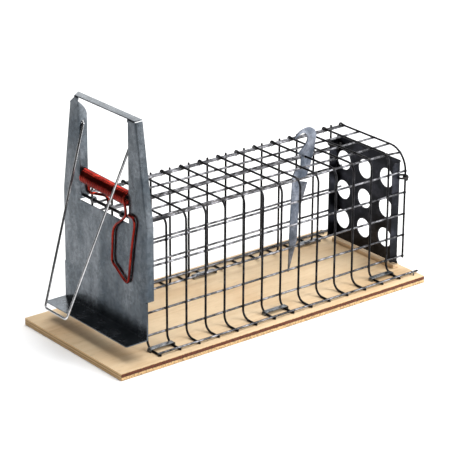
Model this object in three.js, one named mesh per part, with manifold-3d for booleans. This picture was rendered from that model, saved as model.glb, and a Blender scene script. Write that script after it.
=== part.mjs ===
// A live catch trap: a welded-mesh cage on a plywood board, a sprung see-saw
// door with a bail, a hanging bait trigger and a perforated end plate.
// Millimetres. +Z is up, the door faces -Y and the cage runs towards +Y.
// The origin is the middle of the board's underside.
import * as THREE from "three";
import { mergeVertices } from "three/addons/utils/BufferGeometryUtils.js";
import Module from "manifold-3d";

const wasm = await Module();
wasm.setup();

// ---- Driving dimensions ----------------------------------------------------
const GAP = 0.3; // clearance between pieces that touch
const SHEET = 0.8; // thickness of the galvanized sheet

const BOARD = { width: 132, length: 312, thickness: 6 };
const FLOOR = BOARD.thickness; // height of the board's top face

const PITCH = 19.05; // mesh pitch, three quarters of an inch
const WIRE = 1.5; // section of a mesh wire
const CAGE = {
  half: 41.25, // half width, to the middle of the side wires
  top: FLOOR + 105, // height of the top wires' middle
  firstArch: -113.65, // Y of the first arch
  arches: 15,
  firstRow: FLOOR + 10.5, // height of the lowest side row
  rows: 5,
  foot: 16.4, // how far the feet reach outwards
  footEnd: 1.3, // arch wire past the foot wire
  farShift: 8.6, // the far panel's wires stand this far behind the arches
};

const AXLE = { y: -119.6, z: FLOOR + 107, radius: 1.25, half: 44.5, hook: 24 };

const DOOR = {
  face: -123.6, // Y of the front face
  bottom: FLOOR + 14.3,
  top: FLOOR + 188.2,
  half: 55, // half width of the lower panel
  shoulder: FLOOR + 107, // where the taper starts
  sill: FLOOR + 104, // bottom of the window
  neck: 42.4, // half width that the taper reaches at the top
  farCorner: FLOOR + 181, // the far corner is cut off from here
  capFar: [-37, -43], // far end of the top flange, at the front and the back
  capNear: [42.4, 40],
  nearFlangeTop: FLOOR + 187,
  lip: 19.6,
  window: 32, // half width of the window
  flange: 7,
  flangeBottom: FLOOR + 46,
  ear: 8.2,
  earTop: FLOOR + 184,
};

const COIL = { y: -120.7, z: FLOOR + 123.5, radius: 6.35, half: 31.4, turns: 25 };
const SPRING_WIRE = 1.2; // radius
const PIN = { radius: 1.6, half: 34 };

const BAIL = {
  y: -119.4,
  z: FLOOR + 167.3,
  radius: 1,
  half: 31,
  pinEnd: 34.5,
  crownHalf: 14.6,
  crownY: -170.1,
  crownZ: FLOOR + 30.8,
  bend: 1.6,
};

const TRIGGER = { arch: 10, x: 1.4, thickness: 1.2, hole: 1.3 };

const REAR = {
  y: 148, // front face of the end plate
  half: 40,
  bottom: FLOOR + 4.3,
  top: FLOOR + 97,
  flange: 8,
  flangeTop: FLOOR + 95,
  flangeBottom: FLOOR + 7,
  hole: 8.4,
  holePitch: 26.8,
  holeMiddle: [-3.2, FLOOR + 50],
  tieX: 35.6,
  tieNearZ: FLOOR + 81.5,
  tieFarZ: FLOOR + 90,
  tieHole: 1.6,
  tieWire: 0.7, // radius
  tieReach: 2.4, // how far the ring passes beyond the upright
  slotNear: [145.2, 147.9], // slots in the flanges for the ties, from front to back
  slotFar: [139, 141.4],
  slotHalf: 1.3, // half height of a slot
};

const SILL = { half: 39.5, front: 144.6, back: 151.2, height: 3.7 };

const CLIP = { inner: 44.6, width: 4.6, thick: 1, prong: 1, depth: 3.5, reach: 2.7 };
const CLIP_ARCHES = [0, 6, 12]; // each clip spans this arch and the next
const STAPLE = { inner: 55.6, outer: 60.4, y: 148.6, wire: 1.2, depth: 3.5 };

// ---- Materials -------------------------------------------------------------
const material = (color, roughness, metalness) =>
  new THREE.MeshStandardMaterial({ color, roughness, metalness });

const PLYWOOD = material(0xc9a06a, 0.75, 0);
const MESH_WIRE = material(0x3a3b3f, 0.45, 0.9);
const GALVANIZED = material(0x70787f, 0.5, 0.9);
const DARK_SHEET = material(0x2c2f38, 0.5, 0.8);
const COPPERED = material(0x9c3a28, 0.35, 0.9);
const BRIGHT_WIRE = material(0xb9bbbd, 0.3, 1);

// ---- Helpers ---------------------------------------------------------------
const X = new THREE.Vector3(1, 0, 0);
const Y = new THREE.Vector3(0, 1, 0);
const Z = new THREE.Vector3(0, 0, 1);

function solid(geometry) {
  const bare = geometry.clone();
  bare.deleteAttribute("normal");
  bare.deleteAttribute("uv");
  const merged = mergeVertices(bare, 1e-4);
  return new wasm.Manifold(
    new wasm.Mesh({
      numProp: 3,
      vertProperties: new Float32Array(merged.attributes.position.array),
      triVerts: new Uint32Array(merged.index.array),
    }),
  );
}

function geometryOf(manifold) {
  const { vertProperties, triVerts } = manifold.asOriginal().simplify(0.01).getMesh();
  const geometry = new THREE.BufferGeometry();
  geometry.setAttribute("position", new THREE.BufferAttribute(vertProperties, 3));
  geometry.setIndex(new THREE.BufferAttribute(triVerts, 1));
  const flat = geometry.toNonIndexed();
  flat.computeVertexNormals();
  return flat;
}

function joined(...geometries) {
  return geometries.map(solid).reduce((sum, next) => sum.add(next));
}

function cut(body, ...tools) {
  return tools.map(solid).reduce((rest, tool) => rest.subtract(tool), body);
}

function box(x0, x1, y0, y1, z0, z1) {
  const geometry = new THREE.BoxGeometry(x1 - x0, y1 - y0, z1 - z0);
  return geometry.translate((x0 + x1) / 2, (y0 + y1) / 2, (z0 + z1) / 2);
}

// A prism of an outline drawn in (Y, Z), from x to x + depth.
function prismX(shape, x, depth, curveSegments = 8) {
  const geometry = new THREE.ExtrudeGeometry(shape, { depth, bevelEnabled: false, curveSegments });
  geometry.applyMatrix4(new THREE.Matrix4().makeBasis(Y, Z, X));
  return geometry.translate(x, 0, 0);
}

// A prism of an outline drawn in (X, Z), from y to y + depth.
function prismY(shape, y, depth) {
  const geometry = new THREE.ExtrudeGeometry(shape, { depth, bevelEnabled: false });
  geometry.applyMatrix4(new THREE.Matrix4().makeBasis(X, Z, Y.clone().negate()));
  return geometry.translate(0, y + depth, 0);
}

// A round rod along X.
function rodX(x0, x1, y, z, radius, sides = 12) {
  const geometry = new THREE.CylinderGeometry(radius, radius, x1 - x0, sides);
  return geometry.rotateZ(-Math.PI / 2).translate((x0 + x1) / 2, y, z);
}

function outline(points) {
  return new THREE.Shape(points.map(([a, b]) => new THREE.Vector2(a, b)));
}

function circle(a, b, radius, sides) {
  return Array.from({ length: sides }, (_, i) => {
    const angle = (2 * Math.PI * i) / sides;
    return [a + radius * Math.cos(angle), b + radius * Math.sin(angle)];
  });
}

function roundHole(a, b, radius, sides = 12) {
  return new THREE.Path(circle(a, b, radius, sides).map(([u, v]) => new THREE.Vector2(u, v)));
}

// A wire of round section swept along a curve.
function sweptWire(path, radius, steps, sides = 6) {
  const section = outline(circle(0, 0, radius, sides));
  return new THREE.ExtrudeGeometry(section, { steps, extrudePath: path });
}

// A wire through the given points, with round bends.
function bentWire(points, radius, bend, steps, sides = 6) {
  const corners = points.map((p) => new THREE.Vector3(...p));
  const path = new THREE.CurvePath();
  let from = corners[0];
  for (let i = 1; i < corners.length - 1; i++) {
    const before = corners[i].clone().sub(corners[i - 1]).normalize();
    const after = corners[i + 1].clone().sub(corners[i]).normalize();
    const start = corners[i].clone().addScaledVector(before, -bend);
    const end = corners[i].clone().addScaledVector(after, bend);
    path.add(new THREE.LineCurve3(from, start));
    path.add(new THREE.QuadraticBezierCurve3(start, corners[i], end));
    from = end;
  }
  path.add(new THREE.LineCurve3(from, corners.at(-1)));
  return sweptWire(path, radius, steps, sides);
}

const trap = new THREE.Group();

function add(name, geometry, finish) {
  const mesh = new THREE.Mesh(geometry, finish);
  mesh.name = name;
  trap.add(mesh);
}

const archY = (k) => CAGE.firstArch + k * PITCH;
const rowZ = (k) => CAGE.firstRow + k * PITCH;
const mirrored = [
  ["near", 1],
  ["far", -1],
];

// A box between two X values given for the near side, mirrored by side = -1.
function sideBox(side, x0, x1, y0, y1, z0, z1) {
  const [low, high] = side > 0 ? [x0, x1] : [-x1, -x0];
  return box(low, high, y0, y1, z0, z1);
}

// ---- Base board ------------------------------------------------------------
// The prongs of the clips and staples sit in pockets in the board.
function prongBoxes(side, grow) {
  const boxes = [];
  const low = FLOOR - CLIP.depth - grow;
  for (const k of CLIP_ARCHES) {
    for (const [y, toward] of [
      [archY(k), -1],
      [archY(k + 1), 1],
    ]) {
      const outer = y + toward * CLIP.reach;
      const inner = outer - toward * CLIP.prong;
      boxes.push(
        sideBox(
          side,
          CLIP.inner - grow,
          CLIP.inner + CLIP.width + grow,
          Math.min(inner, outer) - grow,
          Math.max(inner, outer) + grow,
          low,
          FLOOR + 1,
        ),
      );
    }
  }
  for (const x of [STAPLE.inner, STAPLE.outer - STAPLE.wire]) {
    boxes.push(
      sideBox(
        side,
        x - grow,
        x + STAPLE.wire + grow,
        STAPLE.y - grow,
        STAPLE.y + STAPLE.wire + grow,
        FLOOR - STAPLE.depth - grow,
        FLOOR + 1,
      ),
    );
  }
  return boxes;
}

function baseBoard() {
  const { width, length, thickness } = BOARD;
  const plank = box(-width / 2, width / 2, -length / 2, length / 2, 0, thickness);
  const pockets = mirrored.flatMap(([, side]) => prongBoxes(side, GAP));
  return geometryOf(cut(solid(plank), ...pockets));
}

add("base_board", baseBoard(), PLYWOOD);

// ---- Mesh cage -------------------------------------------------------------
// Welded wires are square bars in one plane, joined where they cross.
const H = WIRE / 2;

function verticalPanel(side, uprightYs, low, high, rowZs, rowStart, rowEnd) {
  const x0 = CAGE.half - H;
  const x1 = CAGE.half + H;
  const bars = uprightYs.map((y) => sideBox(side, x0, x1, y - H, y + H, low, high));
  const rows = rowZs.map((z) => sideBox(side, x0, x1, rowStart, rowEnd, z - H, z + H));
  return geometryOf(joined(...bars, ...rows));
}

function footPanel(side, wireYs, start, end) {
  const z0 = FLOOR + GAP;
  const z1 = z0 + WIRE;
  const x0 = CAGE.half + H + GAP;
  const footX = CAGE.half + CAGE.foot;
  const feet = wireYs.map((y) =>
    sideBox(side, x0, footX + CAGE.footEnd, y - H, y + H, z0, z1),
  );
  const footWire = sideBox(side, footX - H, footX + H, start, end, z0, z1);
  return geometryOf(joined(...feet, footWire));
}

const archYs = Array.from({ length: CAGE.arches }, (_, k) => archY(k));
const farYs = archYs.slice(0, -1).map((y) => y + CAGE.farShift);
const sideRows = Array.from({ length: CAGE.rows }, (_, k) => rowZ(k));
const meshStart = CAGE.firstArch - H;
const meshEnd = archYs.at(-1) + H;
const wireFoot = FLOOR + GAP;

add(
  "mesh_near_side",
  verticalPanel(1, archYs, wireFoot, CAGE.top - H - GAP, sideRows, meshStart, meshEnd),
  MESH_WIRE,
);
add("mesh_near_foot", footPanel(1, archYs.slice(0, -1), meshStart, meshEnd + 1.5), MESH_WIRE);
add(
  "mesh_far_side",
  verticalPanel(-1, farYs, wireFoot, CAGE.top + 2, [...sideRows, rowZ(5)], meshStart, meshEnd),
  MESH_WIRE,
);
add("mesh_far_foot", footPanel(-1, farYs, meshStart, meshEnd + 1.5), MESH_WIRE);

// The top carries the arches on to the far side, and five lengthwise wires.
function topPanel() {
  const z0 = CAGE.top - H;
  const z1 = CAGE.top + H;
  const farEnd = -CAGE.half + H + GAP;
  const frontEnd = AXLE.y + AXLE.radius + GAP;
  const across = archYs.slice(1).map((y) => box(farEnd, CAGE.half + H, y - H, y + H, z0, z1));
  const along = [-2, -1, 0, 1, 2].map((k) =>
    box(k * PITCH - H, k * PITCH + H, frontEnd, meshEnd, z0, z1),
  );
  return geometryOf(joined(...across, ...along));
}

add("mesh_top", topPanel(), MESH_WIRE);

// ---- Fixings on the feet ---------------------------------------------------
function bandClip(side, k) {
  const y0 = archY(k) - CLIP.reach;
  const y1 = archY(k + 1) + CLIP.reach;
  const x0 = CLIP.inner;
  const x1 = CLIP.inner + CLIP.width;
  const crownLow = FLOOR + WIRE + 2 * GAP;
  const crown = sideBox(side, x0, x1, y0, y1, crownLow, crownLow + CLIP.thick);
  const low = FLOOR - CLIP.depth;
  const front = sideBox(side, x0, x1, y0, y0 + CLIP.prong, low, crownLow + CLIP.thick);
  const back = sideBox(side, x0, x1, y1 - CLIP.prong, y1, low, crownLow + CLIP.thick);
  return geometryOf(joined(crown, front, back));
}

function wireStaple(side) {
  const { inner, outer, y, wire, depth } = STAPLE;
  const crownLow = FLOOR + WIRE + 2 * GAP;
  const top = crownLow + wire;
  const crown = sideBox(side, inner, outer, y, y + wire, crownLow, top);
  const left = sideBox(side, inner, inner + wire, y, y + wire, FLOOR - depth, top);
  const right = sideBox(side, outer - wire, outer, y, y + wire, FLOOR - depth, top);
  return geometryOf(joined(crown, left, right));
}

for (const [where, side] of mirrored) {
  CLIP_ARCHES.forEach((k, i) => {
    add(`band_clip_${where}_${i + 1}`, bandClip(side, k), BRIGHT_WIRE);
  });
  add(`wire_staple_${where}`, wireStaple(side), BRIGHT_WIRE);
}

// ---- End plate -------------------------------------------------------------
function endPlate() {
  const { y, half, bottom, top, hole, holePitch, holeMiddle } = REAR;
  const face = outline([
    [-half, bottom],
    [half, bottom],
    [half, top],
    [-half, top],
  ]);
  for (const i of [-1, 0, 1]) {
    for (const k of [-1, 0, 1]) {
      face.holes.push(roundHole(holeMiddle[0] + i * holePitch, holeMiddle[1] + k * holePitch, hole, 32));
    }
  }
  face.holes.push(roundHole(REAR.tieX, REAR.tieNearZ, REAR.tieHole));
  face.holes.push(roundHole(-REAR.tieX, REAR.tieFarZ, REAR.tieHole));
  const plate = prismY(face, y, SHEET);
  const flanges = mirrored.map(([, side]) =>
    sideBox(side, half - SHEET, half, y - REAR.flange, y + SHEET, REAR.flangeBottom, REAR.flangeTop),
  );
  const slots = [
    tieSlot(1, REAR.slotNear, REAR.tieNearZ),
    tieSlot(-1, REAR.slotFar, REAR.tieFarZ),
  ];
  return geometryOf(cut(joined(plate, ...flanges), ...slots));
}

// The tool that cuts a tie's slot through a side flange.
function tieSlot(side, [front, back], z) {
  const { half, slotHalf } = REAR;
  return sideBox(side, half - 2 * SHEET, half + SHEET, front, back, z - slotHalf, z + slotHalf);
}

add("end_plate", endPlate(), DARK_SHEET);

const sill = box(-SILL.half, SILL.half, SILL.front, SILL.back, FLOOR + GAP, FLOOR + SILL.height);
add("end_sill", sill, PLYWOOD);

// A wire ring that ties the end plate to the nearest upright.
function tieRing(side, upright, z) {
  const hole = new THREE.Vector2(REAR.tieX, REAR.y + SHEET / 2);
  const wire = new THREE.Vector2(CAGE.half, upright);
  const outward = wire.clone().sub(hole).normalize();
  const far = wire.clone().addScaledVector(outward, REAR.tieReach);
  const middle = hole.clone().add(far).multiplyScalar(0.5);
  const ring = new THREE.TorusGeometry(hole.distanceTo(far) / 2, REAR.tieWire, 6, 16);
  return ring.translate(side * middle.x, middle.y, z);
}

add("end_tie_near", tieRing(1, archYs.at(-1), REAR.tieNearZ), MESH_WIRE);
add("end_tie_far", tieRing(-1, farYs.at(-1), REAR.tieFarZ), MESH_WIRE);

// ---- Door axle -------------------------------------------------------------
// The rod crosses the cage's front edge and its ends are bent back.
function axle() {
  const { y, z, radius, half, hook } = AXLE;
  const points = [
    [-half, y + hook, z],
    [-half, y, z],
    [half, y, z],
    [half, y + hook, z],
  ];
  return bentWire(points, radius, 3, 46, 8);
}

add("door_axle", axle(), MESH_WIRE);

// ---- Door plate ------------------------------------------------------------
// Half width of the tapered upper part at a height.
function taperHalf(z) {
  const { half, neck, shoulder, top } = DOOR;
  return half + ((neck - half) * (z - shoulder)) / (top - shoulder);
}

function doorFace() {
  const { half, bottom, top, shoulder, sill, farCorner, capFar, capNear, window } = DOOR;
  const face = outline([
    [-half, bottom],
    [half, bottom],
    [half, shoulder],
    [capNear[0], top],
    [capFar[0], top],
    [-taperHalf(farCorner), farCorner],
    [-half, shoulder],
  ]);
  face.holes.push(
    new THREE.Path([
      new THREE.Vector2(-window, sill),
      new THREE.Vector2(-window, top - SHEET),
      new THREE.Vector2(window, top - SHEET),
      new THREE.Vector2(window, sill),
    ]),
  );
  return prismY(face, DOOR.face, SHEET);
}

function doorSideFlange(side) {
  const { half, shoulder, farCorner, nearFlangeTop, flangeBottom } = DOOR;
  const end = side > 0 ? nearFlangeTop : farCorner;
  const points = [
    [half, flangeBottom],
    [half, shoulder],
    [taperHalf(end), end],
    [taperHalf(end) - SHEET, end],
    [half - SHEET, shoulder],
    [half - SHEET, flangeBottom],
  ];
  return prismY(outline(points.map(([x, z]) => [side * x, z])), DOOR.face, DOOR.flange);
}

function doorEar(side) {
  const { face, ear, earTop, sill, window } = DOOR;
  const back = face + ear;
  const shape = new THREE.Shape();
  shape.moveTo(face + SHEET / 2, sill);
  shape.lineTo(back, sill);
  shape.lineTo(back, earTop - 10);
  shape.quadraticCurveTo(back, earTop - 5, face + SHEET / 2, earTop + 2);
  shape.holes.push(roundHole(AXLE.y, AXLE.z, AXLE.radius + GAP));
  shape.holes.push(roundHole(BAIL.y, BAIL.z, BAIL.radius + 0.4));
  shape.holes.push(roundHole(COIL.y, COIL.z, PIN.radius + GAP));
  return prismX(shape, side > 0 ? window : -window - SHEET, SHEET, 6);
}

function doorPlate() {
  const { face, bottom, top, half, capFar, capNear, lip, ear } = DOOR;
  const capOutline = outline([
    [capFar[0], face],
    [capNear[0], face],
    [capNear[1], face + ear],
    [capFar[1], face + ear],
  ]);
  const cap = new THREE.ExtrudeGeometry(capOutline, { depth: SHEET, bevelEnabled: false });
  cap.translate(0, 0, top - SHEET);
  const foot = box(-half, half, face - lip, face + SHEET / 2, bottom, bottom + SHEET);
  const sides = mirrored.flatMap(([, side]) => [doorSideFlange(side), doorEar(side)]);
  return geometryOf(joined(doorFace(), cap, foot, ...sides));
}

add("door_plate", doorPlate(), GALVANIZED);

// ---- Door spring -----------------------------------------------------------
// The close-wound coil is a ribbed sleeve, one rib to each turn.
function springCoil() {
  const { y, z, radius, half, turns } = COIL;
  const bore = radius - 2 * SPRING_WIRE;
  const profile = [new THREE.Vector2(bore, -half)];
  const rib = (2 * half) / turns;
  for (let i = 0; i < turns; i++) {
    const x = -half + i * rib;
    profile.push(new THREE.Vector2(radius - 0.7, x));
    profile.push(new THREE.Vector2(radius, x + rib / 2));
  }
  profile.push(new THREE.Vector2(radius - 0.7, half));
  profile.push(new THREE.Vector2(bore, half));
  profile.push(new THREE.Vector2(bore, -half));
  const sleeve = new THREE.LatheGeometry(profile, 18);
  return sleeve.rotateZ(-Math.PI / 2).translate(0, y, z);
}

add("spring_coil", springCoil(), COPPERED);
add("spring_pin", rodX(-PIN.half, PIN.half, COIL.y, COIL.z, PIN.radius), MESH_WIRE);

// The wire leaves the coil's end and lies on the door's face as a long loop.
function springLoop() {
  const faceY = DOOR.face - GAP - SPRING_WIRE;
  const leave = COIL.y - COIL.radius + SPRING_WIRE;
  const points = [
    [30.1, leave, COIL.z - 5.4],
    [31.2, faceY - 0.3, FLOOR + 110.5],
    [18.2, faceY, FLOOR + 99.4],
    [13.8, faceY, FLOOR + 91],
    [12.8, faceY, FLOOR + 68],
    [20, faceY, FLOOR + 62.4],
    [29.7, faceY, FLOOR + 56.2],
    [34, faceY, FLOOR + 58.6],
    [38.2, faceY, FLOOR + 84.6],
    [42.4, faceY, FLOOR + 105],
    [41.2, faceY, FLOOR + 112],
    [35, faceY, FLOOR + 112.2],
  ];
  const path = new THREE.CatmullRomCurve3(
    points.map((p) => new THREE.Vector3(...p)),
    false,
    "centripetal",
  );
  return sweptWire(path, SPRING_WIRE, 60, 8);
}

add("spring_loop", springLoop(), COPPERED);

// The other leg runs back under the coil and hooks over a lengthwise top wire.
function springLeg() {
  const topZ = CAGE.top + H + GAP + SPRING_WIRE + 0.4;
  const points = [
    [-30, -116.5, COIL.z - 7.4],
    [-30, -115.6, topZ + 1],
    [-29.6, -111, topZ],
    [-PITCH - 2.2, -108, topZ],
    [-PITCH + 2.4, -107.6, topZ - 0.6],
    [-PITCH + 2.6, -107.6, topZ - 4],
  ];
  return bentWire(points, SPRING_WIRE, 1.2, 30, 8);
}

add("spring_leg", springLeg(), COPPERED);

// ---- Bail ------------------------------------------------------------------
function bail() {
  const { y, z, radius, half, pinEnd, crownHalf, crownY, crownZ, bend } = BAIL;
  const points = [
    [-pinEnd, y, z],
    [-half, y, z],
    [-crownHalf, crownY, crownZ],
    [crownHalf, crownY, crownZ],
    [half, y, z],
    [pinEnd, y, z],
  ];
  return bentWire(points, radius, bend, 110, 8);
}

add("bail", bail(), BRIGHT_WIRE);

// ---- Trigger ---------------------------------------------------------------
// A flat strip that hangs on one arch: a hook above, a long blade below.
function trigger() {
  const { arch, x, thickness, hole } = TRIGGER;
  const y = archY(arch);
  const z = CAGE.top;
  const shape = new THREE.Shape();
  const to = (a, b) => shape.lineTo(y + a, z + b);
  const curve = (a, b, c, d) => shape.quadraticCurveTo(y + a, z + b, y + c, z + d);
  shape.moveTo(y - 16.2, z - 98.3);
  to(-11.2, -82.4);
  to(-7.6, -72.4);
  to(-6.2, -52);
  to(-6.4, -19.4);
  curve(0.6, -19.4, 3.2, -14);
  curve(5.4, -10, 5.8, -7.3);
  to(9.2, 5);
  to(11.6, 17);
  curve(9.4, 25.2, 1.4, 25);
  curve(-7.6, 24.6, -11.8, 17.7);
  to(-8.8, 19.2);
  curve(0.7, 24.4, 2.4, 16);
  curve(2.6, 11.6, -7.8, 4.2);
  to(-4.2, 2);
  to(-4.4, -7);
  curve(-11.6, -7.6, -13.1, -17);
  to(-14.6, -47.3);
  to(-15.4, -71);
  shape.holes.push(roundHole(y, z, hole));
  const blade = prismX(shape, x, thickness, 5);
  return geometryOf(joined(blade, triggerWing(y, z)));
}

// The wing is folded out of the blade's rear edge below the pad.
function triggerWing(y, z) {
  const wing = outline([
    [0, -16],
    [7, -16],
    [1.6, -45],
    [0, -52],
  ]);
  const geometry = prismX(wing, 0, TRIGGER.thickness);
  geometry.rotateZ(-0.9);
  return geometry.translate(TRIGGER.x + 0.1, y - 6.8, z);
}

add("trigger", trigger(), GALVANIZED);

export default trap;
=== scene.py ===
"""Looks for a live catch trap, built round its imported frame.

The frame is in metres. Shapes here are drawn in millimetres and scaled as each piece is made.
The door faces -Y, the cage runs towards +Y and the near side is +X.
"""

import math

import bmesh
import bpy
from mathutils import Matrix, Vector
from mathutils.geometry import delaunay_2d_cdt


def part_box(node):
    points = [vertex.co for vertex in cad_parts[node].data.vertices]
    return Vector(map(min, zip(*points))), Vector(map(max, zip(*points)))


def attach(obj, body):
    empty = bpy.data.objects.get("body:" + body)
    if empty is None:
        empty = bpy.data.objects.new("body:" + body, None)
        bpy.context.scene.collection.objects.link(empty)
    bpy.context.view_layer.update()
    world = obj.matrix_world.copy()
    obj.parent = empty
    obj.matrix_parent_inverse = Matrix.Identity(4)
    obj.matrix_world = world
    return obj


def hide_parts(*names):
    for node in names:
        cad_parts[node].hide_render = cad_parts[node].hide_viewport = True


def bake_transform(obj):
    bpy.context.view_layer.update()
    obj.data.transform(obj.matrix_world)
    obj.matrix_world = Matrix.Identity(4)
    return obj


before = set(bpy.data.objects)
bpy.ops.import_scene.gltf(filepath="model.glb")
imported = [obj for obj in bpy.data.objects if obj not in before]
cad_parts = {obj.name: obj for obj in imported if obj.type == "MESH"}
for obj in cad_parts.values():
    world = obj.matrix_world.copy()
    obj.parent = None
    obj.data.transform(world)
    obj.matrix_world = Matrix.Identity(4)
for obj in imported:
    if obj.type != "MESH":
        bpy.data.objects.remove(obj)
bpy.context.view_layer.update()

MM = 0.001
QUARTER = math.pi / 2


def cad(node):
    """Lowest and highest corner of a CAD node, in millimetres."""
    low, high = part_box(node)
    return low / MM, high / MM


# ---- Dimensions, from the frame where it has them --------------------------
board_low, board_high = cad("base_board")
FLOOR = board_high.z
PITCH = 19.05
WIRE = 0.9  # radius of a mesh wire
CROSSING = 1.1  # between the two layers of crossing wires

side_low, side_high = cad("mesh_near_side")
HALF = (side_low.x + side_high.x) / 2
FIRST_ARCH = side_low.y + 0.75
ARCHES = 15
TOP = sum(corner.z for corner in cad("mesh_top")) / 2
FIRST_ROW = FLOOR + 10.5
FOOT = 16.4
FOOT_END = 1.3
FAR_SHIFT = 8.6  # the far panel's wires stand this far behind the arches
ARCH_PLANE = HALF + 0.35
LINE_PLANE = ARCH_PLANE - CROSSING
FOOT_Z = FLOOR + WIRE + 0.05
ROWS = 5  # lengthwise wires on each side
MESH_BEND = 7.5  # corner radius of the crosswise wires
LAST_BEND = 19  # the same for the last arch
OVER_Z = TOP + 0.35  # crosswise wires of the top
UNDER_Z = TOP - 0.75  # lengthwise wires of the top
WELD_SIZE = (1.15, 1.75, 1.15)

AXLE_Y, AXLE_Z, AXLE_RADIUS = -119.6, FLOOR + 107, 1.25
AXLE_HALF = 44.5

door_low, door_high = cad("door_plate")
SHEET = 0.8
BEND = 0.9  # bend radius at the middle of the sheet
ARC = BEND * QUARTER
OUTER = BEND + SHEET / 2
EAR = 8.2
FACE = door_high.y - EAR  # front of the door's face
FACE_MID = FACE + SHEET / 2

coil_low, coil_high = cad("spring_coil")
COIL_Y = (coil_low.y + coil_high.y) / 2
COIL_Z = (coil_low.z + coil_high.z) / 2
COIL_HALF = coil_high.x
SPRING_WIRE = 1.2
COIL_RADIUS = (coil_high.z - coil_low.z) / 2 - SPRING_WIRE
TURNS = 25

BAIL_Y, BAIL_Z = -119.4, FLOOR + 167.3
plate_low, plate_high = cad("end_plate")
PIVOT_Y = FIRST_ARCH + 10 * PITCH


def arch_y(k):
    return FIRST_ARCH + k * PITCH


def row_z(k):
    return FIRST_ROW + k * PITCH


def wobble(k, phase=0.0, size=0.3):
    """A small unevenness, the same in every run."""
    return size * math.sin(12.9898 * (k + 1) + 4.1 * phase)


# ---- Materials --------------------------------------------------------------
def node(tree, kind, **values):
    made = tree.nodes.new(kind)
    for key, value in values.items():
        if hasattr(made, key):
            setattr(made, key, value)
        else:
            made.inputs[key.replace("_", " ")].default_value = value
    return made


def noise(tree, scale, detail=4.0, stretch=(1, 1, 1), rough=0.55):
    """A noise in the object's own coordinates; scale is in features per metre."""
    place = node(tree, "ShaderNodeTexCoord")
    mapping = node(tree, "ShaderNodeMapping")
    mapping.inputs["Scale"].default_value = stretch
    made = node(tree, "ShaderNodeTexNoise", Scale=scale, Detail=detail, Roughness=rough)
    tree.links.new(place.outputs["Object"], mapping.inputs["Vector"])
    tree.links.new(mapping.outputs["Vector"], made.inputs["Vector"])
    return made.outputs["Fac"]


def ramp(tree, source, *stops):
    """A colour ramp with (position, colour) stops."""
    made = node(tree, "ShaderNodeValToRGB")
    elements = made.color_ramp.elements
    while len(elements) < len(stops):
        elements.new(0.5)
    for element, (position, colour) in zip(elements, stops):
        element.position = position
        element.color = (*colour, 1)
    tree.links.new(source, made.inputs["Fac"])
    return made.outputs["Color"]


def grey(level):
    return (level, level, level)


def mixed(tree, factor, a, b, blend="MIX"):
    """Mixes two colours given as sockets; factor is a socket or a number."""
    made = node(tree, "ShaderNodeMix", data_type="RGBA", blend_type=blend)
    if isinstance(factor, bpy.types.NodeSocket):
        tree.links.new(factor, made.inputs[0])
    else:
        made.inputs[0].default_value = factor
    tree.links.new(a, made.inputs[6])
    tree.links.new(b, made.inputs[7])
    return made.outputs[2]


def blank(name, **values):
    """A material, its tree and its shader with the given constant inputs."""
    made = bpy.data.materials.new(name)
    made.use_nodes = True
    shader = made.node_tree.nodes["Principled BSDF"]
    for key, value in values.items():
        shader.inputs[key.replace("_", " ")].default_value = value
    return made, made.node_tree, shader


def bumped(tree, shader, source, strength, distance):
    bump = node(tree, "ShaderNodeBump", Strength=strength, Distance=distance)
    tree.links.new(source, bump.inputs["Height"])
    tree.links.new(bump.outputs["Normal"], shader.inputs["Normal"])


def metal(name, dark, mid, light, metallic, rough, patch, grain, stretch=(1, 1, 1), bump=0.25):
    """Mottled metal: broad patches, a spangle and a fine grain over them."""
    made, tree, shader = blank(name, Metallic=metallic)
    patches = noise(tree, patch, 5, stretch, 0.6)
    base = ramp(tree, patches, (0.34, dark), (0.5, mid), (0.66, light))
    spangle = node(tree, "ShaderNodeTexVoronoi", Scale=grain)
    place = node(tree, "ShaderNodeTexCoord")
    tree.links.new(place.outputs["Object"], spangle.inputs["Vector"])
    flakes = ramp(tree, spangle.outputs["Color"], (0.1, grey(0.72)), (0.9, grey(1.3)))
    coloured = mixed(tree, 0.75, base, flakes, "MULTIPLY")
    speckle = noise(tree, grain * 4, 2)
    fine = ramp(tree, speckle, (0.3, grey(0.8)), (0.7, grey(1.2)))
    tree.links.new(mixed(tree, 0.8, coloured, fine, "MULTIPLY"), shader.inputs["Base Color"])
    low, high = rough
    tree.links.new(
        ramp(tree, patches, (0.3, grey(low)), (0.7, grey(high))), shader.inputs["Roughness"]
    )
    bumped(tree, shader, speckle, bump, 0.00012)
    return made


GALVANIZED = metal(
    "galvanized_sheet", (0.055, 0.068, 0.082), (0.094, 0.108, 0.122), (0.15, 0.166, 0.184),
    0.94, (0.22, 0.3), 70, 420, (1, 1, 0.5),
)
TRIGGER_SHEET = metal(
    "trigger_sheet", (0.06, 0.075, 0.10), (0.14, 0.16, 0.20), (0.27, 0.29, 0.34),
    0.88, (0.28, 0.42), 90, 500,
)
DARK_SHEET = metal(
    "dark_sheet", (0.004, 0.004, 0.006), (0.009, 0.010, 0.014), (0.034, 0.035, 0.046),
    0.93, (0.3, 0.45), 60, 400,
)
# The near-black tone of this wire, used for the crosswise wires, the axle and the pin, is painted shade
# and dark reflection; the wire itself is galvanized like the lengthwise wires.
SHADED_WIRE = metal(
    "mesh_wire", (0.005, 0.005, 0.006), (0.012, 0.012, 0.014), (0.045, 0.045, 0.05),
    0.92, (0.36, 0.5), 160, 900,
)
# The lengthwise wires are the same galvanized wire, made lighter as a painted highlight on their tops.
LIT_LINE_WIRE = metal(
    "line_wire_painted_highlight", (0.015, 0.015, 0.017), (0.06, 0.06, 0.065), (0.26, 0.26, 0.28),
    0.92, (0.22, 0.4), 160, 900,
)
WELD = metal(
    "weld", (0.006, 0.006, 0.006), (0.015, 0.014, 0.014), (0.04, 0.038, 0.036),
    0.5, (0.45, 0.7), 400, 1500,
)
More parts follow.
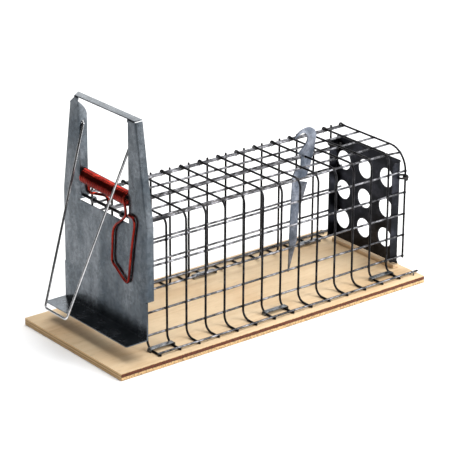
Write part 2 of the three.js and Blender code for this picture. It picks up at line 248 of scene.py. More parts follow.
CLIP_STEEL = metal(
    "clip_steel", (0.05, 0.055, 0.06), (0.14, 0.15, 0.16), (0.3, 0.31, 0.32),
    0.9, (0.25, 0.4), 250, 900,
)
BRIGHT_WIRE = metal(
    "bright_wire", (0.3, 0.31, 0.32), (0.46, 0.46, 0.47), (0.62, 0.62, 0.63),
    1.0, (0.12, 0.22), 60, 900, (1, 1, 0.3), 0.1,
)
COPPER = metal(
    "coppered_wire", (0.10, 0.007, 0.005), (0.18, 0.012, 0.008), (0.28, 0.028, 0.015),
    0.97, (0.1, 0.17), 90, 500, (1, 1, 1), 0.05,
)


def plywood():
    """Birch ply: long grain on the faces, and plies and glue lines on the edges."""
    made, tree, shader = blank("plywood", Specular_IOR_Level=0.3)
    grain = noise(tree, 18, 7, (5, 0.5, 5), 0.6)
    face = ramp(
        tree, grain, (0.28, (0.48, 0.335, 0.19)), (0.45, (0.60, 0.445, 0.275)), (0.7, (0.66, 0.51, 0.33))
    )
    stain = noise(tree, 22, 3, (1, 0.6, 1), 0.5)
    face = mixed(
        tree, 0.5, face, ramp(tree, stain, (0.36, (0.86, 0.74, 0.62)), (0.52, grey(1))), "MULTIPLY"
    )
    fleck = noise(tree, 340, 3, (1.6, 0.35, 1), 0.6)
    face = mixed(
        tree, 0.55, face, ramp(tree, fleck, (0.28, grey(0.72)), (0.42, grey(1)), (0.75, grey(1.06))),
        "MULTIPLY",
    )
    place = node(tree, "ShaderNodeTexCoord")
    apart = node(tree, "ShaderNodeSeparateXYZ")
    tree.links.new(place.outputs["Object"], apart.inputs["Vector"])
    height = node(tree, "ShaderNodeMapRange")
    height.inputs["From Max"].default_value = FLOOR * MM
    tree.links.new(apart.outputs["Z"], height.inputs["Value"])
    ragged = node(tree, "ShaderNodeMath", operation="MULTIPLY_ADD")
    ragged.inputs[1].default_value = 0.10
    tree.links.new(noise(tree, 260, 4), ragged.inputs[0])
    tree.links.new(height.outputs["Result"], ragged.inputs[2])
    pale, glue, dark = (0.58, 0.38, 0.18), (0.06, 0.018, 0.006), (0.10, 0.024, 0.008)
    end_ply = ramp(
        tree, ragged.outputs["Value"],
        (0.06, dark), (0.13, pale), (0.48, pale), (0.54, glue), (0.60, dark), (0.95, dark), (1.0, pale),
    )
    speck = noise(tree, 900, 2)
    end_ply = mixed(
        tree, 0.8, end_ply, ramp(tree, speck, (0.35, grey(0.35)), (0.55, grey(1.25))), "MULTIPLY"
    )
    front_ply = ramp(
        tree, ragged.outputs["Value"],
        (0.05, glue), (0.12, pale), (0.34, pale), (0.39, glue), (0.45, pale), (0.68, pale),
        (0.73, glue), (0.79, pale), (1.0, (0.7, 0.48, 0.25)),
    )
    shape = node(tree, "ShaderNodeNewGeometry")
    facing = node(tree, "ShaderNodeSeparateXYZ")
    tree.links.new(shape.outputs["True Normal"], facing.inputs["Vector"])

    def faces(axis):
        size = node(tree, "ShaderNodeMath", operation="ABSOLUTE")
        tree.links.new(facing.outputs[axis], size.inputs[0])
        over = node(tree, "ShaderNodeMath", operation="GREATER_THAN")
        over.inputs[1].default_value = 0.75
        tree.links.new(size.outputs["Value"], over.inputs[0])
        return over.outputs["Value"]

    colour = mixed(tree, faces("X"), face, end_ply)
    colour = mixed(tree, faces("Y"), colour, front_ply)
    tree.links.new(colour, shader.inputs["Base Color"])
    tree.links.new(ramp(tree, grain, (0.3, grey(0.5)), (0.7, grey(0.68))), shader.inputs["Roughness"])
    bumped(tree, shader, fleck, 0.35, 0.00015)
    return made


PLYWOOD = plywood()


def strip_wood():
    made, tree, shader = blank("strip_wood", Specular_IOR_Level=0.3)
    grain = noise(tree, 40, 6, (0.6, 5, 5), 0.6)
    colour = ramp(tree, grain, (0.3, (0.56, 0.38, 0.22)), (0.7, (0.80, 0.62, 0.42)))
    tree.links.new(colour, shader.inputs["Base Color"])
    tree.links.new(ramp(tree, grain, (0.3, grey(0.5)), (0.7, grey(0.65))), shader.inputs["Roughness"])
    bumped(tree, shader, grain, 0.3, 0.0002)
    return made


STRIP_WOOD = strip_wood()


# ---- Shape helpers ------------------------------------------------------------
def piece(name, bm, body, finish, replaced=(), crease=40):
    """Makes an object of bm, drawn in millimetres, that rides on a body."""
    bmesh.ops.scale(bm, vec=(MM, MM, MM), verts=bm.verts)
    bmesh.ops.recalc_face_normals(bm, faces=bm.faces)
    mesh = bpy.data.meshes.new(name)
    bm.to_mesh(mesh)
    bm.free()
    mesh.materials.append(finish)
    mesh.shade_smooth()
    mesh.set_sharp_from_angle(angle=math.radians(crease))
    made = bpy.data.objects.new(name, mesh)
    bpy.context.scene.collection.objects.link(made)
    if replaced:
        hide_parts(*replaced)
    if body:
        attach(made, body)
    return made


def rounded(points, radius, steps=6):
    """The points as a path whose corners are arcs."""
    points = [Vector(p) for p in points]
    path = [points[0]]
    for before, corner, after in zip(points, points[1:], points[2:]):
        a = (before - corner).normalized()
        b = (after - corner).normalized()
        turn = math.pi - a.angle(b)
        if turn < 0.01:
            path.append(corner)
            continue
        room = 0.49 * min((before - corner).length, (after - corner).length)
        reach = min(radius * math.tan(turn / 2), room)
        size = reach / math.tan(turn / 2)
        centre = corner + (a + b).normalized() * (size / math.cos(turn / 2))
        start = (corner + a * reach - centre).normalized()
        end = (corner + b * reach - centre).normalized()
        path += [centre + start.slerp(end, i / steps) * size for i in range(steps + 1)]
    return [*path, points[-1]]


def smooth(points, steps=6):
    """A Catmull-Rom path through the points."""
    points = [Vector(p) for p in points]
    ends = [2 * points[0] - points[1], *points, 2 * points[-1] - points[-2]]
    path = []
    for a, b, c, d in zip(ends, ends[1:], ends[2:], ends[3:]):
        for i in range(steps):
            t = i / steps
            path.append(
                0.5 * (2 * b + (c - a) * t + (2 * a - 5 * b + 4 * c - d) * t**2
                       + (3 * b - a - 3 * c + d) * t**3)
            )
    return [*path, points[-1]]


def circle(centre, radius, sides):
    return [
        (
            centre[0] + radius * math.cos(2 * math.pi * i / sides),
            centre[1] + radius * math.sin(2 * math.pi * i / sides),
        )
        for i in range(sides)
    ]


def sweep(bm, path, section, side=None, dome=0.0):
    """Sweeps a closed section along a path. side fixes the section's first axis; dome rounds the ends."""
    path = [Vector(p) for p in path]
    tangents = [
        (path[min(i + 1, len(path) - 1)] - path[max(i - 1, 0)]).normalized()
        for i in range(len(path))
    ]
    rings = [(p, t, 1.0) for p, t in zip(path, tangents)]
    if dome:
        for lift, size in ((0.5, 0.87), (0.87, 0.5)):
            rings.insert(0, (path[0] - tangents[0] * dome * lift, tangents[0], size))
            rings.append((path[-1] + tangents[-1] * dome * lift, tangents[-1], size))
    across = Vector(side) if side else tangents[0].orthogonal().normalized()
    loops = []
    for place, tangent, size in rings:
        if side is None:
            across = (across - tangent * across.dot(tangent)).normalized()
        up = tangent.cross(across).normalized()
        loops.append([bm.verts.new(place + (across * a + up * b) * size) for a, b in section])
    for one, two in zip(loops, loops[1:]):
        for i in range(len(section)):
            j = (i + 1) % len(section)
            bm.faces.new((one[i], one[j], two[j], two[i]))
    bm.faces.new(loops[0])
    bm.faces.new(loops[-1])


def wire(bm, path, radius, sides=10):
    sweep(bm, path, circle((0, 0), radius, sides), None, radius)


def inside(point, outline):
    """Even-odd test of a point in a closed outline."""
    x, y = point
    crossings = 0
    for (x0, y0), (x1, y1) in zip(outline, [*outline[1:], outline[0]]):
        if (y0 > y) != (y1 > y) and x < x0 + (y - y0) * (x1 - x0) / (y1 - y0):
            crossings += 1
    return crossings % 2 == 1


class Fold:
    """A bend of a flat sheet: what lies beyond the line through start turns by angle."""

    def __init__(self, start, along, length, out, depth, angle, radius=BEND):
        self.start, self.along, self.out = Vector(start), Vector(along), Vector(out)
        self.length, self.depth, self.angle, self.radius = length, depth, angle, radius

    def lines(self):
        """The lines in the flat where the sheet is divided to follow the arc."""
        arc = self.radius * abs(self.angle)
        for i in range(5):
            base = self.start + self.out * (arc * i / 4)
            yield base, base + self.along * self.length

    def holds(self, point):
        rest = point - self.start
        beyond = 1e-6 < rest.dot(self.out) < self.depth + 0.06
        return beyond and -0.06 < rest.dot(self.along) < self.length + 0.06

    def place(self, point):
        """(point in space, normal) of a point of the flat."""
        rest = point - self.start
        far, turn, sign = rest.dot(self.out), abs(self.angle), math.copysign(1, self.angle)
        phi = min(far / self.radius, turn)
        straight = max(0.0, far - self.radius * turn)
        ahead = self.radius * math.sin(phi) + straight * math.cos(phi)
        lifted = self.radius * (1 - math.cos(phi)) + straight * math.sin(phi)
        flat = self.start + self.along * rest.dot(self.along) + self.out * ahead
        lean = -sign * math.sin(phi) * self.out
        return Vector((*flat, sign * lifted)), Vector((*lean, math.cos(phi)))


def folded_sheet(outline, holes, folds, thickness, place):
    """Cuts a flat sheet, bends it and gives it thickness. place maps (u, v, out of plane) to space."""
    points, edges = [], []
    for loop in (outline, *holes):
        first = len(points)
        points += [Vector(p) for p in loop]
        edges += [(first + i, first + (i + 1) % len(loop)) for i in range(len(loop))]
    for fold in folds:
        for start, end in fold.lines():
            points += [start, end]
            edges.append((len(points) - 2, len(points) - 1))
    flat, _, faces, *_ = delaunay_2d_cdt(points, edges, [], 0, 1e-5)
    kept = []
    for face in faces:
        middle = sum((flat[i] for i in face), Vector((0, 0))) / len(face)
        if inside(middle, outline) and not any(inside(middle, hole) for hole in holes):
            kept.append(face)
    bm = bmesh.new()
    skins = {}
    for i in sorted({i for face in kept for i in face}):
        at, normal = Vector((*flat[i], 0)), Vector((0, 0, 1))
        for fold in folds:
            if fold.holds(flat[i]):
                at, normal = fold.place(flat[i])
        skins[i] = [bm.verts.new(place @ (at + normal * (thickness / 2 * s))) for s in (1, -1)]
    rim = {}
    for face in kept:
        bm.faces.new([skins[i][0] for i in face])
        bm.faces.new([skins[i][1] for i in reversed(face)])
        for i, j in zip(face, [*face[1:], face[0]]):
            rim[i, j] = True
    for i, j in rim:
        if (j, i) not in rim:
            bm.faces.new((skins[i][0], skins[i][1], skins[j][1], skins[j][0]))
    bmesh.ops.dissolve_limit(bm, angle_limit=0.01, verts=bm.verts, edges=bm.edges)
    return bm


def slab(low, high, bevel, segments=2):
    """A block with rounded edges."""
    bm = bmesh.new()
    size = Vector(high) - Vector(low)
    centre = (Vector(high) + Vector(low)) / 2
    bmesh.ops.create_cube(bm, size=1, matrix=Matrix.LocRotScale(centre, None, size))
    bmesh.ops.bevel(bm, geom=bm.edges[:], offset=bevel, segments=segments, affect="EDGES", profile=0.5)
    return bm


XZ_TO_SPACE = Matrix(((1, 0, 0, 0), (0, 0, 1, 0), (0, 1, 0, 0), (0, 0, 0, 1)))
YZ_TO_SPACE = Matrix(((0, 0, 1, 0), (1, 0, 0, 0), (0, 1, 0, 0), (0, 0, 0, 1)))

# ---- Board and strip ----------------------------------------------------------
piece("board", slab(board_low, board_high, 0.35), "cage", PLYWOOD, ["base_board"])
sill_low, sill_high = cad("end_sill")
piece(
    "end_strip", slab(sill_low - Vector((0, 0, 0.3)), sill_high, 0.6), "cage", STRIP_WOOD,
    ["end_sill"],
)


# ---- Mesh ---------------------------------------------------------------------
def arch_path(k):
    """One crosswise wire: foot, near side and top, hooked over the far panel's top wire."""
    y = arch_y(k) + wobble(k, 1, 0.25)
    foot_y = arch_y(k) + wobble(k, 2, 0.5)
    plane = ARCH_PLANE + wobble(k, 3, 0.15)
    last = k == ARCHES - 1
    start = (
        [(plane, y, FLOOR + 10)]
        if last
        else [(HALF + FOOT + FOOT_END, foot_y, FOOT_Z), (plane, foot_y, FOOT_Z)]
    )
    corner = (plane, y, OVER_Z)
    end = (-HALF + 6, y, OVER_Z)
    path = rounded([*start, corner, end], LAST_BEND if last else MESH_BEND, 8)
    hook = CROSSING + WIRE
    for turn in range(0, 93 if last else 162, 23):
        angle = math.radians(turn)
        path.append(
            Vector((-LINE_PLANE - hook * math.sin(angle), y, UNDER_Z + hook * math.cos(angle)))
        )
    return path


def first_arch_path():
    """The front upright has no top: it hooks over the axle's bent-back end."""
    y = arch_y(0)
    points = [(HALF + FOOT + FOOT_END, y, FOOT_Z), (ARCH_PLANE, y, FOOT_Z), (ARCH_PLANE, y, AXLE_Z - 4)]
    path = rounded(points, MESH_BEND, 8)
    hook = AXLE_RADIUS + WIRE
    for turn in range(0, 221, 20):
        angle = math.radians(turn)
        path.append(Vector((AXLE_HALF - hook * math.cos(angle), y, AXLE_Z + hook * math.sin(angle))))
    return path


def far_upright_path(k):
    """One upright of the far panel, with its foot."""
    y = arch_y(k) + FAR_SHIFT + wobble(k, 4, 0.3)
    foot = [(-HALF - FOOT - FOOT_END, y, FOOT_Z), (-ARCH_PLANE, y, FOOT_Z)]
    return rounded([*foot, (-ARCH_PLANE, y, TOP + 0.9)], MESH_BEND, 8)


mesh_start = FIRST_ARCH - 1.2
mesh_end = arch_y(ARCHES - 1) + 1.2


def line_path(x, z, seed, start=mesh_start, end=mesh_end):
    """A lengthwise wire, very slightly wavy."""
    steps = 2 * ARCHES
    return [
        (x + wobble(i, seed, 0.12), start + (end - start) * i / steps, z + wobble(i, seed + 5, 0.12))
        for i in range(steps + 1)
    ]


def top_line_path(k):
    """A lengthwise top wire, with its front end hooked round the axle."""
    x = k * PITCH
    hook = AXLE_RADIUS + WIRE - 0.05
    loop = []
    for turn in range(0, 291, 24):
        angle = math.radians(turn)
        loop.append((x, AXLE_Y - hook * math.sin(angle), AXLE_Z - hook * math.cos(angle)))
    line = line_path(x, UNDER_Z, k, arch_y(0))
    if k == 2:  # drawn in to the rounder corner of the last arch
        for back, inward, down in ((3, 0.8, 0.5), (2, 2.6, 1.9), (1, 4.8, 3.4)):
            x, y, z = line[-back]
            line[-back] = (x - inward, y, z - down)
    return [*reversed(line), *loop]


crosswise = bmesh.new()
wire(crosswise, first_arch_path(), WIRE)
for k in range(1, ARCHES):
    wire(crosswise, arch_path(k), WIRE)
piece(
    "mesh_arches", crosswise, "cage", SHADED_WIRE,
    ["mesh_near_side", "mesh_near_foot", "mesh_top"],
)

lengthwise = bmesh.new()
for k in range(ROWS):
    wire(lengthwise, line_path(LINE_PLANE, row_z(k), k), WIRE)
for k in range(-2, 3):
    wire(lengthwise, top_line_path(k), WIRE)
wire(lengthwise, line_path(HALF + FOOT, FOOT_Z + CROSSING, 9, end=mesh_end + 1), WIRE)
piece("mesh_lines", lengthwise, "cage", LIT_LINE_WIRE)

far_uprights = bmesh.new()
for k in range(ARCHES - 1):
    wire(far_uprights, far_upright_path(k), WIRE)
wire(far_uprights, line_path(-HALF - FOOT, FOOT_Z + CROSSING, 8, end=mesh_end + 1), WIRE)
piece(
    "far_uprights", far_uprights, "cage", SHADED_WIRE, ["mesh_far_side", "mesh_far_foot"]
)
far_lines = bmesh.new()
far_rows = [*(row_z(k) for k in range(ROWS)), UNDER_Z]
for k, z in enumerate(far_rows):
    wire(far_lines, line_path(-LINE_PLANE, z, k + 3), WIRE)
piece("far_lines", far_lines, "cage", LIT_LINE_WIRE)

welds = bmesh.new()


def weld(x, y, z):
    """A dark nugget where two wires cross, drawn out along the lengthwise wire."""
    matrix = Matrix.LocRotScale(Vector((x, y, z)), None, Vector(WELD_SIZE))
    bmesh.ops.create_icosphere(welds, subdivisions=2, radius=1, matrix=matrix)


middle = (ARCH_PLANE + LINE_PLANE) / 2
for k in range(ARCHES):
    y = arch_y(k)
    for row in range(ROWS):
        weld(middle, y, row_z(row))
    if k:
        for line in range(-2, 3 if k < ARCHES - 1 else 2):
            weld(line * PITCH, y, TOP - 0.2)
    if k < ARCHES - 1:
        weld(HALF + FOOT, y, FOOT_Z + 0.5)
        weld(-HALF - FOOT, y + FAR_SHIFT, FOOT_Z + 0.5)
        for z in far_rows:
            weld(-middle, y + FAR_SHIFT, z)
piece("mesh_welds", welds, "cage", WELD)

# ---- Clips and staples ---------------------------------------------------------
BAND = 1.0  # thickness of a clip's band
STAPLE_WIRE = 0.6


def band_section(width):
    """A flat band's section, with its corners cut."""
    a, b, c = width / 2, BAND / 2, 0.25
    return [
        (-a + c, -b), (a - c, -b), (a, -b + c), (a, b - c),
        (a - c, b), (-a + c, b), (-a, b - c), (-a, -b + c),
    ]


for where in ("near", "far"):
    for i in (1, 2, 3):
        node_name = f"band_clip_{where}_{i}"
        low, high = cad(node_name)
        x = (low.x + high.x) / 2
        front, back, crown = low.y + BAND / 2, high.y - BAND / 2, high.z - BAND / 2
        bm = bmesh.new()
        corners = [(x, front, low.z), (x, front, crown), (x, back, crown), (x, back, low.z)]
        sweep(bm, rounded(corners, 1.3), band_section(high.x - low.x), side=(1, 0, 0))
        piece(f"clip_{where}_{i}", bm, "cage", CLIP_STEEL, [node_name])
    node_name = f"wire_staple_{where}"
    low, high = cad(node_name)
    y = (low.y + high.y) / 2
    bm = bmesh.new()
    left, right, crown = low.x + STAPLE_WIRE, high.x - STAPLE_WIRE, high.z - STAPLE_WIRE
    corners = [(left, y, low.z), (left, y, crown), (right, y, crown), (right, y, low.z)]
    wire(bm, rounded(corners, 1.4), STAPLE_WIRE, 8)
    piece(f"staple_{where}", bm, "cage", CLIP_STEEL, [node_name])


# ---- End plate -------------------------------------------------------------------
HOLE = 8.4
HOLE_PITCH = 26.8
HOLE_MIDDLE = (-3.2, FLOOR + 50)
TIE_HOLES = ((35.6, FLOOR + 81.5), (-35.6, FLOOR + 90))


def end_plate():
    """The perforated plate with its two side flanges."""
    half, bottom, top = plate_high.x, plate_low.z, plate_high.z
    start = half - OUTER
    low, high = FLOOR + 7, FLOOR + 95
    out = start + ARC + (plate_high.y - SHEET / 2 - plate_low.y) - BEND
    right = [
        (half, bottom),
        (half, low - 0.5),
        (start, low - 0.5),
        (start, low),
        (out - 1, low),
        (out, low + 1),
        (out, high - 2),
        (out - 2, high),
        (start, high),
        (start, high + 0.5),
        (half, high + 0.5),
        (half, top - 0.8),
        (half - 0.8, top),
    ]
    outline = [*right, *[(-u, v) for u, v in reversed(right)]]
    u, v = HOLE_MIDDLE
    holes = [
        circle((u + i * HOLE_PITCH, v + k * HOLE_PITCH), HOLE, 48)
        for i in (-1, 0, 1)
        for k in (-1, 0, 1)
    ]
    holes += [circle(centre, 1.6, 16) for centre in TIE_HOLES]
    folds = [
        Fold((side * start, low), (0, 1), high - low, (side, 0), out - start, -QUARTER)
        for side in (-1, 1)
    ]
    place = Matrix.Translation((0, plate_high.y - SHEET / 2, 0)) @ XZ_TO_SPACE
    return folded_sheet(outline, holes, folds, SHEET, place)


piece("end_sheet", end_plate(), "cage", DARK_SHEET, ["end_plate"])


def twisted_tie(side):
    """Two turns of thin wire through the plate, wound in a knot round the upright."""
    low, high = cad("end_tie_near" if side > 0 else "end_tie_far")
    centre = (low + high) / 2
    reach = (high.x - low.x) / 2 - 0.7
    upright = arch_y(ARCHES - 1) if side > 0 else arch_y(ARCHES - 2) + FAR_SHIFT
    bm = bmesh.new()

    def helix(middle, radius, turns, steps, height):
        """Turns of wire round a vertical line."""
        path = []
        for i in range(steps + 1):
            angle = 2 * math.pi * turns * i / steps
            round_line = side * radius * math.cos(angle), radius * math.sin(angle)
            path.append(middle + Vector((*round_line, height * (i / steps - 0.5))))
        return path

    wire(bm, helix(centre, reach, 2, 60, 1.3), 0.6, 8)
    knot = Vector((side * ARCH_PLANE, upright, centre.z))
    wire(bm, helix(knot, 1.75, 3, 48, 4.4), 0.7, 8)
    return bm


for where, side in (("near", 1), ("far", -1)):
    piece(f"tie_{where}", twisted_tie(side), "cage", WELD, [f"end_tie_{where}"])

# ---- Axle --------------------------------------------------------------------------
bm = bmesh.new()
ends = [(s * AXLE_HALF, AXLE_Y + 24, AXLE_Z) for s in (-1, 1)]
corners = [(s * AXLE_HALF, AXLE_Y, AXLE_Z) for s in (-1, 1)]
wire(bm, rounded([ends[0], corners[0], corners[1], ends[1]], 3), AXLE_RADIUS, 12)
piece("axle", bm, "cage", SHADED_WIRE, ["door_axle"])


# ---- Door ----------------------------------------------------------------------------
def bezier(a, b, c, steps=8):
    """Points of a curve from a towards b and on to c, without a itself."""
    path = []
    for i in range(1, steps + 1):
        t = i / steps
        path.append(tuple((1 - t) ** 2 * p + 2 * t * (1 - t) * q + t**2 * r for p, q, r in zip(a, b, c)))
    return path


def door():
    """The door's sheet: face, lip, window, side flanges, ears and top flange."""
    half, bottom, top = door_high.x, door_low.z, door_high.z
    shoulder, sill, window, flange_low = FLOOR + 107, FLOOR + 104, 32, FLOOR + 46
    neck = 42.4
    cap_far, cap_near = (-37, -43), 40.4  # ends of the top flange: far front and back, near back

    def reach(depth):
        """Length in the flat of a flange that ends this far from the face's middle."""
        return ARC + depth - BEND

    flange = reach(7 - SHEET / 2)
    ear = reach(EAR - SHEET / 2)
    lip = reach(FACE_MID - door_low.y)
    start = half - OUTER
    cap_start = top - OUTER
    lip_start = bottom + OUTER
    along = Vector((neck - half, top - shoulder)).normalized()
    out = Vector((along.y, -along.x))
    line = Vector((half, shoulder)) - out * OUTER
    meet = line + along * ((start - line.x) / along.x)

    def taper(z):
        """Point of the tapered fold line at a height."""
        return line + along * ((z - line.y) / along.y)

    def flank(upper):
        """The near edge up to the top of its flange, from the lip."""
        return [
            Vector(p)
            for p in (
                (half - 1, lip_start - lip),
                (half, lip_start - lip + 1),
                (half, flange_low - 0.5),
                (start, flange_low - 0.5),
                (start, flange_low),
                (start + flange, flange_low),
                (start + flange, meet.y),
                meet,
                meet + out * flange,
                upper + out * flange,
                upper,
            )
        ]

    near_top, far_top = taper(top - SHEET - 0.15), taper(FLOOR + 181)
    cap_end = near_top.x - 0.5
    outline = [
        *flank(near_top),
        near_top - Vector((0.3, 0)),
        (cap_end + 0.2, cap_start),
        (cap_end, cap_start),
        (cap_near, cap_start + ear),
        (cap_far[1], cap_start + ear),
        (cap_far[0], cap_start),
        (-far_top.x - 1, far_top.y + 0.8),
        *[Vector((-p.x, p.y)) for p in reversed(flank(far_top))],
    ]
    ear_start = window + OUTER
    ear_end = ear_start - ear
    ear_top = FLOOR + 183
    ear_corner = (ear_end, ear_top - 10)
    opening = [
        (ear_start, sill),
        (ear_start, sill + 0.5),
        (ear_end, sill + 0.5),
        ear_corner,
        *bezier(ear_corner, (ear_end, ear_top - 5), (ear_start, ear_top + 2)),
        (window, ear_top + 2.6),
        (window, cap_start + 0.9),
    ]
    holes = [[*opening, *[(-u, v) for u, v in reversed(opening)]]]

    def ear_u(y):
        return ear_start - reach(y - FACE_MID)

    for side in (-1, 1):
        holes.append(circle((side * ear_u(AXLE_Y), AXLE_Z), 1.55, 20))
        holes.append(circle((side * ear_u(BAIL_Y), BAIL_Z), 1.4, 20))
        holes.append(circle((side * ear_u(COIL_Y), COIL_Z), 1.9, 20))
    folds = [
        Fold((-half, lip_start), (1, 0), 2 * half, (0, -1), lip, -QUARTER),
        Fold((cap_far[1], cap_start), (1, 0), cap_end + 0.1 - cap_far[1], (0, 1), ear, QUARTER),
    ]
    for side in (-1, 1):
        flip = Vector((side, 1))
        height = meet.y - flange_low
        folds.append(Fold((side * start, flange_low), (0, 1), height, (side, 0), flange, QUARTER))
        length = ((near_top if side > 0 else far_top) - meet).length
        folds.append(Fold(meet * flip, along * flip, length, out * flip, flange, QUARTER))
        height = ear_top + 1.5 - sill
        folds.append(Fold((side * ear_start, sill + 0.5), (0, 1), height, (-side, 0), ear, QUARTER))
    place = Matrix.Translation((0, FACE_MID, 0)) @ XZ_TO_SPACE
    return folded_sheet(outline, holes, folds, SHEET, place)


piece("door_sheet", door(), "door", GALVANIZED, ["door_plate"])


# ---- Spring -----------------------------------------------------------------------------
COIL_STEPS = 24  # points to a turn
COIL_WIRE = 0.84  # thinner than the wire, so that light falls between the turns
LOOP_WIRE = 1.08


def coil_point(turn):
    """A point of the close-wound coil; turn 0 is at the far end."""
    x = -COIL_HALF + SPRING_WIRE + (2 * COIL_HALF - 2 * SPRING_WIRE) * turn / TURNS
    angle = 2 * math.pi * turn
    lean = -x / COIL_HALF
    y = COIL_Y + 0.5 * lean + COIL_RADIUS * math.sin(angle)
    z = COIL_Z + 0.6 * lean + COIL_RADIUS * math.cos(angle)
    return Vector((x, y, z))


face_y = FACE - 0.3 - SPRING_WIRE
loop = [
    (COIL_HALF - 0.4, COIL_Y - COIL_RADIUS, COIL_Z - 3.4),
    (31.4, face_y - 0.2, FLOOR + 111.5),
    (25.5, face_y, FLOOR + 105),
    (18.4, face_y, FLOOR + 99.4),
    (14.3, face_y, FLOOR + 92.6),
    (13.2, face_y, FLOOR + 80),
    (12.8, face_y, FLOOR + 68),
    (19, face_y, FLOOR + 62.9),
    (29.2, face_y, FLOOR + 56.6),
    (33.6, face_y, FLOOR + 58),
    (36.4, face_y, FLOOR + 74),
    (39.4, face_y, FLOOR + 91),
    (42.2, face_y, FLOOR + 105),
    (41.2, face_y, FLOOR + 111),
    (35, face_y, FLOOR + 112.2),
]
bm = bmesh.new()
winding = [coil_point(step / COIL_STEPS) for step in range(COIL_STEPS * TURNS)]
wire(bm, winding, COIL_WIRE)
wire(bm, smooth([winding[-4], *loop]), LOOP_WIRE)
piece("spring", bm, "door", COPPER, ["spring_coil", "spring_loop"])

leg_z = TOP + WIRE + SPRING_WIRE
bm = bmesh.new()
leg = smooth(
    [
        coil_point(0.25),
        coil_point(0.38),
        (-30.2, COIL_Y + 4.2, COIL_Z - 7.5),
        (-30.2, COIL_Y + 5.4, leg_z + 2),
        (-29.4, COIL_Y + 9.5, leg_z),
        (-24, COIL_Y + 12.2, leg_z),
        (-PITCH - 1, COIL_Y + 13, leg_z),
        (-PITCH + 2.2, COIL_Y + 13.2, leg_z - 1.6),
        (-PITCH + 2.6, COIL_Y + 13.2, leg_z - 4.5),
    ]
)
wire(bm, leg, SPRING_WIRE)
spring_leg = piece("spring_leg_wire", bm, None, COPPER, ["spring_leg"])
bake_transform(spring_leg)

pin_low, pin_high = cad("spring_pin")
pin_radius = (pin_high.z - pin_low.z) / 2
bm = bmesh.new()
wire(bm, [(x, COIL_Y, COIL_Z) for x in (pin_low.x + 0.4, 0, pin_high.x - 0.4)], pin_radius, 16)
piece("pin", bm, "door", SHADED_WIRE, ["spring_pin"])

# ---- Bail -----------------------------------------------------------------------------------
BAIL_WIRE = 1.0
bail_low, _ = cad("bail")
bm = bmesh.new()
crown_y, crown_z = bail_low.y + BAIL_WIRE, bail_low.z + BAIL_WIRE
path = rounded(
    [
        (-34.3, BAIL_Y, BAIL_Z),
        (-31, BAIL_Y, BAIL_Z),
        (-14.6, crown_y, crown_z),
        (14.6, crown_y, crown_z),
        (31, BAIL_Y, BAIL_Z),
        (34.3, BAIL_Y, BAIL_Z),
    ],
    3.2,
    8,
)
wire(bm, path, BAIL_WIRE, 12)
piece("bail_wire", bm, "bail", BRIGHT_WIRE, ["bail"])


# ---- Trigger ----------------------------------------------------------------------------------
TRIGGER_THICKNESS = 1.2


def trigger():
    """Hook, pad, blade and folded wing, drawn from the pivot with the blade hanging down."""
    outline = [(-16.2, -98.3)]

    def to(u, v):
        outline.append((u, v))

    def curve(a, b, u, v):
        outline.extend(bezier(outline[-1], (a, b), (u, v)))

    hinge = -6.9
    to(-11.2, -82.4)
    to(-7.6, -72.4)
    to(hinge, -52)
    to(hinge + 1.8, -44)
    to(hinge + 7.6, -21)
    curve(hinge + 7.6, -20, hinge + 6.6, -20)
    to(hinge, -20)
    to(hinge, -19.4)
    curve(0.6, -19.4, 3.2, -14)
    curve(5.4, -10, 5.8, -7.3)
    to(9.2, 5)
    to(11.6, 17)
    curve(9.4, 25.2, 1.4, 25)
    curve(-7.6, 24.6, -11.8, 17.7)
    to(-8.8, 19.2)
    curve(0.7, 24.4, 2.4, 16)
    curve(2.6, 11.6, -7.8, 4.2)
    to(-4.2, 2)
    to(-4.4, -7)
    curve(-11.6, -7.6, -13.1, -17)
    to(-14.6, -47.3)
    to(-15.4, -71)
    fold = Fold((hinge, -52), (0, 1), 32.02, (1, 0), 10, 0.9, 1.2)
    trigger_low, _ = cad("trigger")
    middle = trigger_low.x + TRIGGER_THICKNESS / 2
    place = Matrix.Translation((middle, PIVOT_Y, TOP)) @ YZ_TO_SPACE
    return folded_sheet(outline, [circle((0, 0), 1.4, 20)], [fold], TRIGGER_THICKNESS, place)


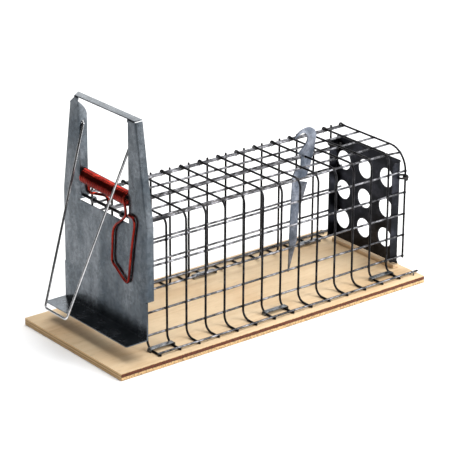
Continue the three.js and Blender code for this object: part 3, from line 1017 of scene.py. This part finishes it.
piece("trigger_sheet", trigger(), "trigger", TRIGGER_SHEET, ["trigger"])


# ---- Stage, light and camera --------------------------------------------------------------------
def pale_floor():
    made, tree, shader = blank("pale_floor", Roughness=0.6, Specular_IOR_Level=0.2)
    tone = ramp(tree, noise(tree, 3, 2), (0.3, grey(0.86)), (0.7, grey(0.9)))
    tree.links.new(tone, shader.inputs["Base Color"])
    return made


bpy.ops.mesh.primitive_plane_add(size=14, location=(0, 0, 0))
ground = bpy.context.object
ground.name = "ground"
ground.data.materials.append(pale_floor())

world = bpy.data.worlds.new("studio")
world.use_nodes = True
world.node_tree.nodes["Background"].inputs["Color"].default_value = (1, 1, 1, 1)
world.node_tree.nodes["Background"].inputs["Strength"].default_value = 0.11
bpy.context.scene.world = world


def softbox(name, place, target, size, power):
    data = bpy.data.lights.new(name, "AREA")
    data.shape = "RECTANGLE"
    data.size, data.size_y = size
    data.energy = power
    made = bpy.data.objects.new(name, data)
    bpy.context.scene.collection.objects.link(made)
    made.location = place
    made.rotation_euler = (Vector(target) - Vector(place)).to_track_quat("-Z", "Y").to_euler()


softbox("overhead", (0.05, 0.25, 1.85), (0, 0, 0.05), (2.0, 1.9), 62)
softbox("right_back", (1.9, 1.0, 0.95), (0.1, 0.1, 0.05), (1.1, 1.0), 26)
softbox("right_floor", (0.9, 0.85, 0.6), (0.42, 0.36, 0), (0.7, 0.7), 9)
softbox("left_back", (-1.5, 1.2, 0.95), (0, 0, 0.1), (1.1, 0.7), 6)

camera = bpy.data.objects.new("camera", bpy.data.cameras.new("camera"))
bpy.context.scene.collection.objects.link(camera)
camera.data.sensor_width = 36
camera.data.lens = 177.74
camera.location = (1.3111, -1.0398, 0.7368)
aim = Vector((-0.04946, 0.0354, 0.04359)) - camera.location
roll = Matrix.Rotation(math.radians(0.29), 4, "Z")
camera.matrix_world = (
    Matrix.Translation(camera.location) @ aim.to_track_quat("-Z", "Y").to_matrix().to_4x4() @ roll
)
bpy.context.scene.camera = camera
bpy.context.scene.view_settings.view_transform = "Standard"
